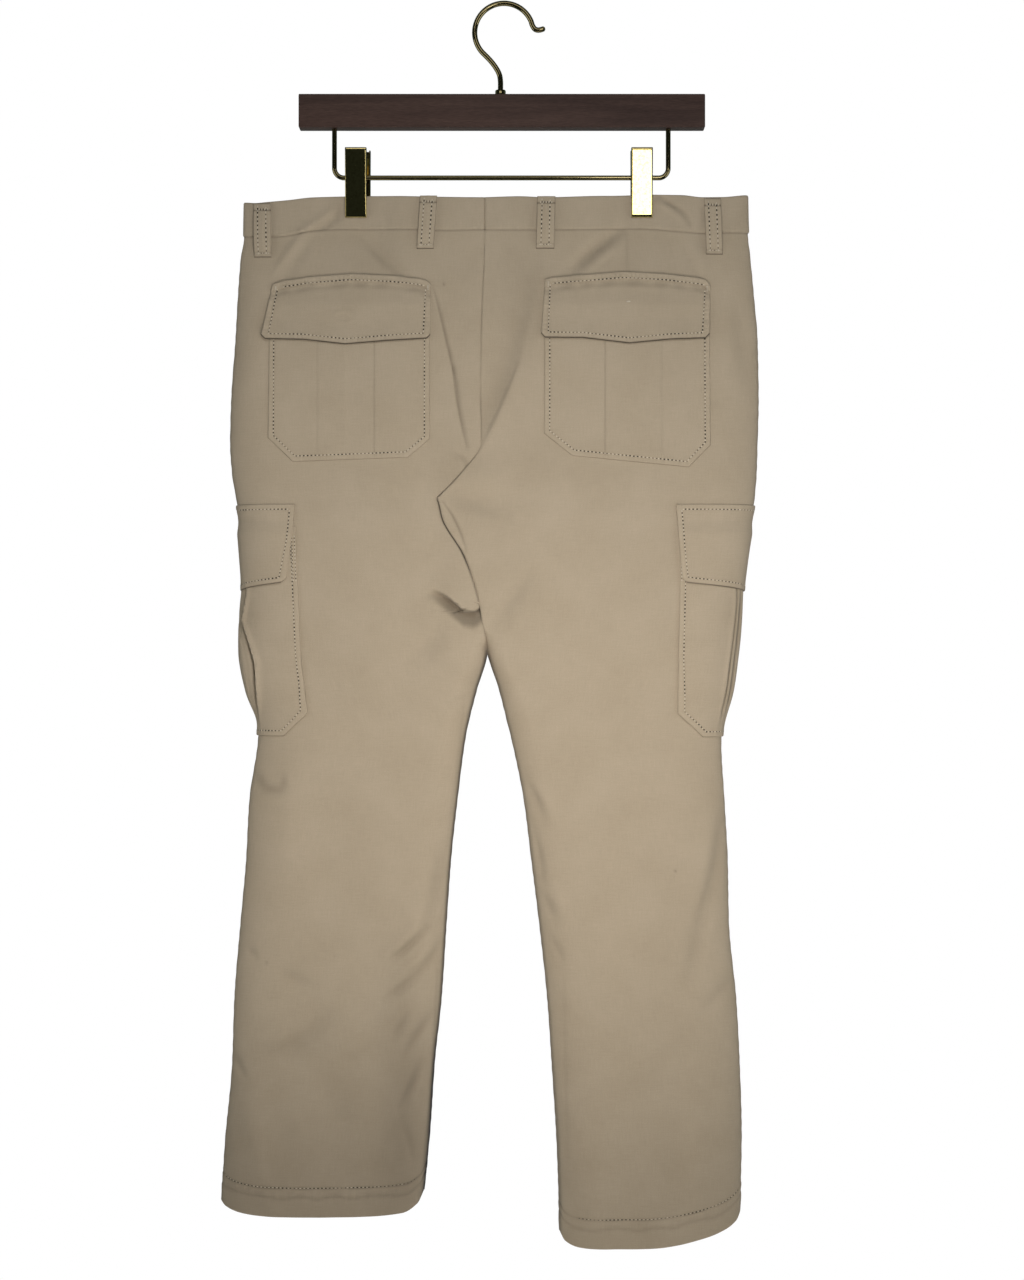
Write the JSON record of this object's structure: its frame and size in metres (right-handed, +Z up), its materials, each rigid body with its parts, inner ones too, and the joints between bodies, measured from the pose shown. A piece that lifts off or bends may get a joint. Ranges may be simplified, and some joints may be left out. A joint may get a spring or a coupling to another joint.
{
  "type": "cargo trousers on a clip hanger",
  "caption": "Beige cotton cargo trousers with flapped back and side pockets, hanging flat by the waistband from a wooden clip hanger with a metal hook.",
  "frame": {"origin": "the inside top of the hanger's hook, where a rail carries it", "axes": "+Z up, +Y towards the front of the garment, +X towards the wearer's right"},
  "size_m": [0.5036, 0.0538, 1.1599],
  "materials": {
    "twill": "matt brushed cotton twill, beige",
    "button": "dull brown four-hole button",
    "wood": "dark brown stain under satin lacquer",
    "brass": "polished pale brass plating"
  },
  "bodies": {
    "root": {"back_left_upper": "twill", "back_left_lower": "twill", "back_right_upper": "twill", "back_right_lower": "twill", "front_left_upper": "twill", "front_left_lower": "twill", "front_right_upper": "twill", "front_right_lower": "twill", "waistband_left": "twill", "waistband_right": "twill", "loop_side_left": "twill", "loop_back_left": "twill", "loop_back_right": "twill", "loop_side_right": "twill", "loop_front_left": "twill", "loop_front_right": "twill", "back_pocket_left": "twill", "back_pocket_right": "twill", "back_flap_left": "twill", "back_flap_right": "twill", "cargo_pocket_left": "twill", "cargo_pocket_right": "twill", "cargo_flap_left": "twill", "cargo_flap_right": "twill", "fly_placket": "twill", "waist_button": "button", "hanger_bar": "wood", "hanger_hook": "brass", "hook_collar": "brass", "drop_rod": "brass", "clip_left_front": "brass", "clip_left_back": "brass", "clip_left_spring": "brass", "clip_right_front": "brass", "clip_right_back": "brass", "clip_right_spring": "brass"}
  },
  "joints": []
}
